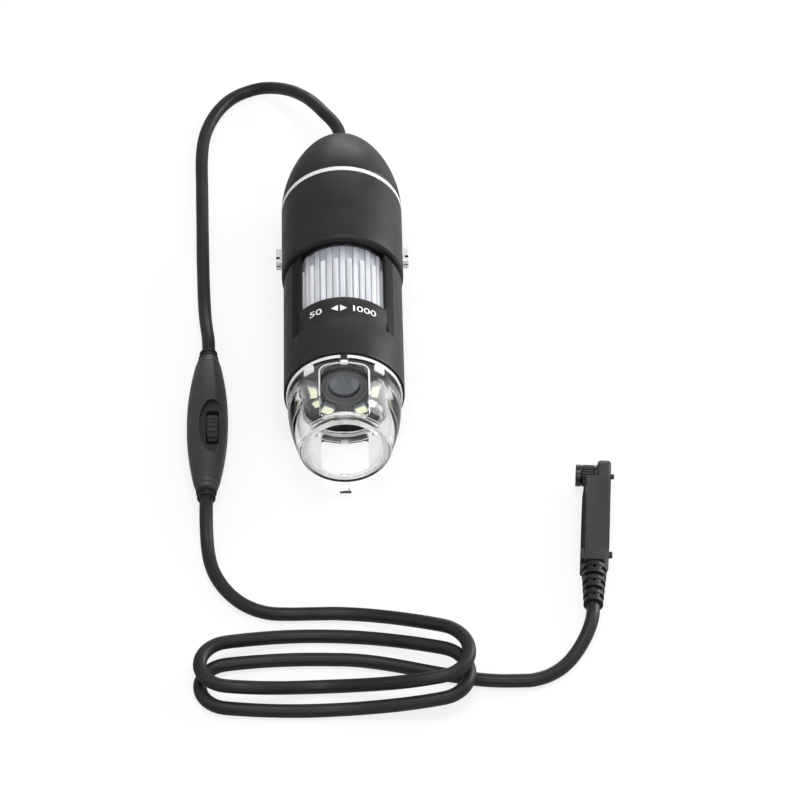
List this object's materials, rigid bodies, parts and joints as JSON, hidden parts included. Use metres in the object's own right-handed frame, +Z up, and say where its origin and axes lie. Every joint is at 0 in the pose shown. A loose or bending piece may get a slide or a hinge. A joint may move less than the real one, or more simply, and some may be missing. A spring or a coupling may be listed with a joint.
{
  "type": "handheld digital microscope",
  "caption": "Handheld wired digital microscope: black barrel with ribbed focus wheel in a window, clear access nose with lights, side keys, in-line dimmer, coiled cord and screw-locked plug.",
  "frame": {"origin": "on the table under the middle of the microscope's barrel, which lies on its side", "axes": "+Y along the barrel from the clear nose to the tail, +X to the right seen from above with the nose towards the viewer, +Z up through the focus window"},
  "size_m": [0.1128, 0.2402, 0.033],
  "materials": {
    "black_shell": "satin black moulding",
    "trim": "bright satin",
    "key_chrome": "bright plated",
    "clear_nose": "clear polished moulding",
    "wheel_white": "pale pearl, ribbed",
    "steel": "plain steel",
    "inner_black": "matt black",
    "lens_grey": "dark grey",
    "lens_glass": "coated glass",
    "led_board": "dark solder mask",
    "led": "pale phosphor",
    "ribbon": "flat flexible cable",
    "board_green": "solder mask",
    "chip_black": "moulded package",
    "header": "natural nylon",
    "wire": "insulated wire",
    "clamp_grey": "nylon",
    "cord_black": "satin jacket",
    "dimmer_black": "satin black moulding",
    "thumb_black": "matt black",
    "plug_black": "satin black moulding",
    "screw_black": "black finish",
    "gold": "gold plated"
  },
  "bodies": {
    "casing": {"tail_shell": "black_shell", "trim_ring": "trim", "rear_barrel": "black_shell", "front_sleeve": "black_shell", "wheel_washer": "steel", "core_tube": "inner_black", "rear_plate": "inner_black", "led_board": "led_board", "leds": "led", "led_ribbon": "ribbon", "sensor_board": "board_green", "image_sensor": "chip_black", "infrared_filter": "lens_glass", "board_screws": "steel", "main_board": "board_green", "main_chips": "chip_black", "key_switches": "chip_black", "cable_header": "header", "cable_leads": "wire", "cord_clamp": "clamp_grey", "cord_stub": "cord_black", "cord_grommet": "cord_black", "dimmer_top_shell": "dimmer_black", "dimmer_bottom_shell": "dimmer_black", "dimmer_board": "board_green", "dimmer_potentiometer": "chip_black", "dimmer_leads": "wire", "dimmer_collars": "cord_black", "plug_shell": "plug_black", "plug_cover": "plug_black", "plug_board": "board_green", "plug_contact_block": "plug_black", "plug_pins": "gold", "plug_peg": "plug_black", "plug_screw_washer": "steel", "plug_boot": "cord_black", "cord_tail": "cord_black", "cord_drop": "cord_black", "cord_coil": "cord_black", "cord_lead": "cord_black"},
    "focus_ring": {"focus_wheel": "wheel_white"},
    "lens_unit": {"lens_carrier": "inner_black", "lens_barrel": "lens_grey", "front_lens": "lens_glass", "lens_retainer": "inner_black", "rear_lens": "lens_glass", "cam_pin": "steel"},
    "nose": {"nose_cap": "clear_nose"},
    "left_button": {"left_key": "key_chrome"},
    "right_button": {"right_key": "key_chrome"},
    "dimmer_dial": {"dimmer_wheel": "thumb_black", "dimmer_shaft": "steel"},
    "plug_screw": {"plug_thumbscrew": "screw_black"}
  },
  "joints": [
    {"name": "focus_turn", "type": "hinge", "parent": "casing", "child": "focus_ring", "pos_m": [0, -0.0059, 0.0165], "axis": [0, 1, 0], "range_deg": [-150, 150]},
    {"name": "lens_shift", "type": "slide", "parent": "casing", "child": "lens_unit", "axis": [0, 1, 0], "range_m": [-0.004, 0.004]},
    {"name": "nose_pull", "type": "slide", "parent": "casing", "child": "nose", "axis": [0, -1, 0], "range_m": [0, 0.025]},
    {"name": "left_key_press", "type": "slide", "parent": "casing", "child": "left_button", "axis": [1, 0, 0], "range_m": [0, 0.0006], "stiffness_N_per_m": 400},
    {"name": "right_key_press", "type": "slide", "parent": "casing", "child": "right_button", "axis": [-1, 0, 0], "range_m": [0, 0.0006], "stiffness_N_per_m": 400},
    {"name": "dimmer_turn", "type": "hinge", "parent": "casing", "child": "dimmer_dial", "pos_m": [-0.035, -0.0422, 0.0069], "axis": [1, 0, 0], "range_deg": [-135, 135]},
    {"name": "plug_screw_turn", "type": "hinge", "parent": "casing", "child": "plug_screw", "pos_m": [0.0661, -0.05751, 0.0042], "axis": [0.9976, -0.0698, 0], "continuous": true}
  ],
  "couplings": [
    {"joint": "lens_shift", "follows": "focus_turn", "m_per_rad": 0.0015}
  ]
}
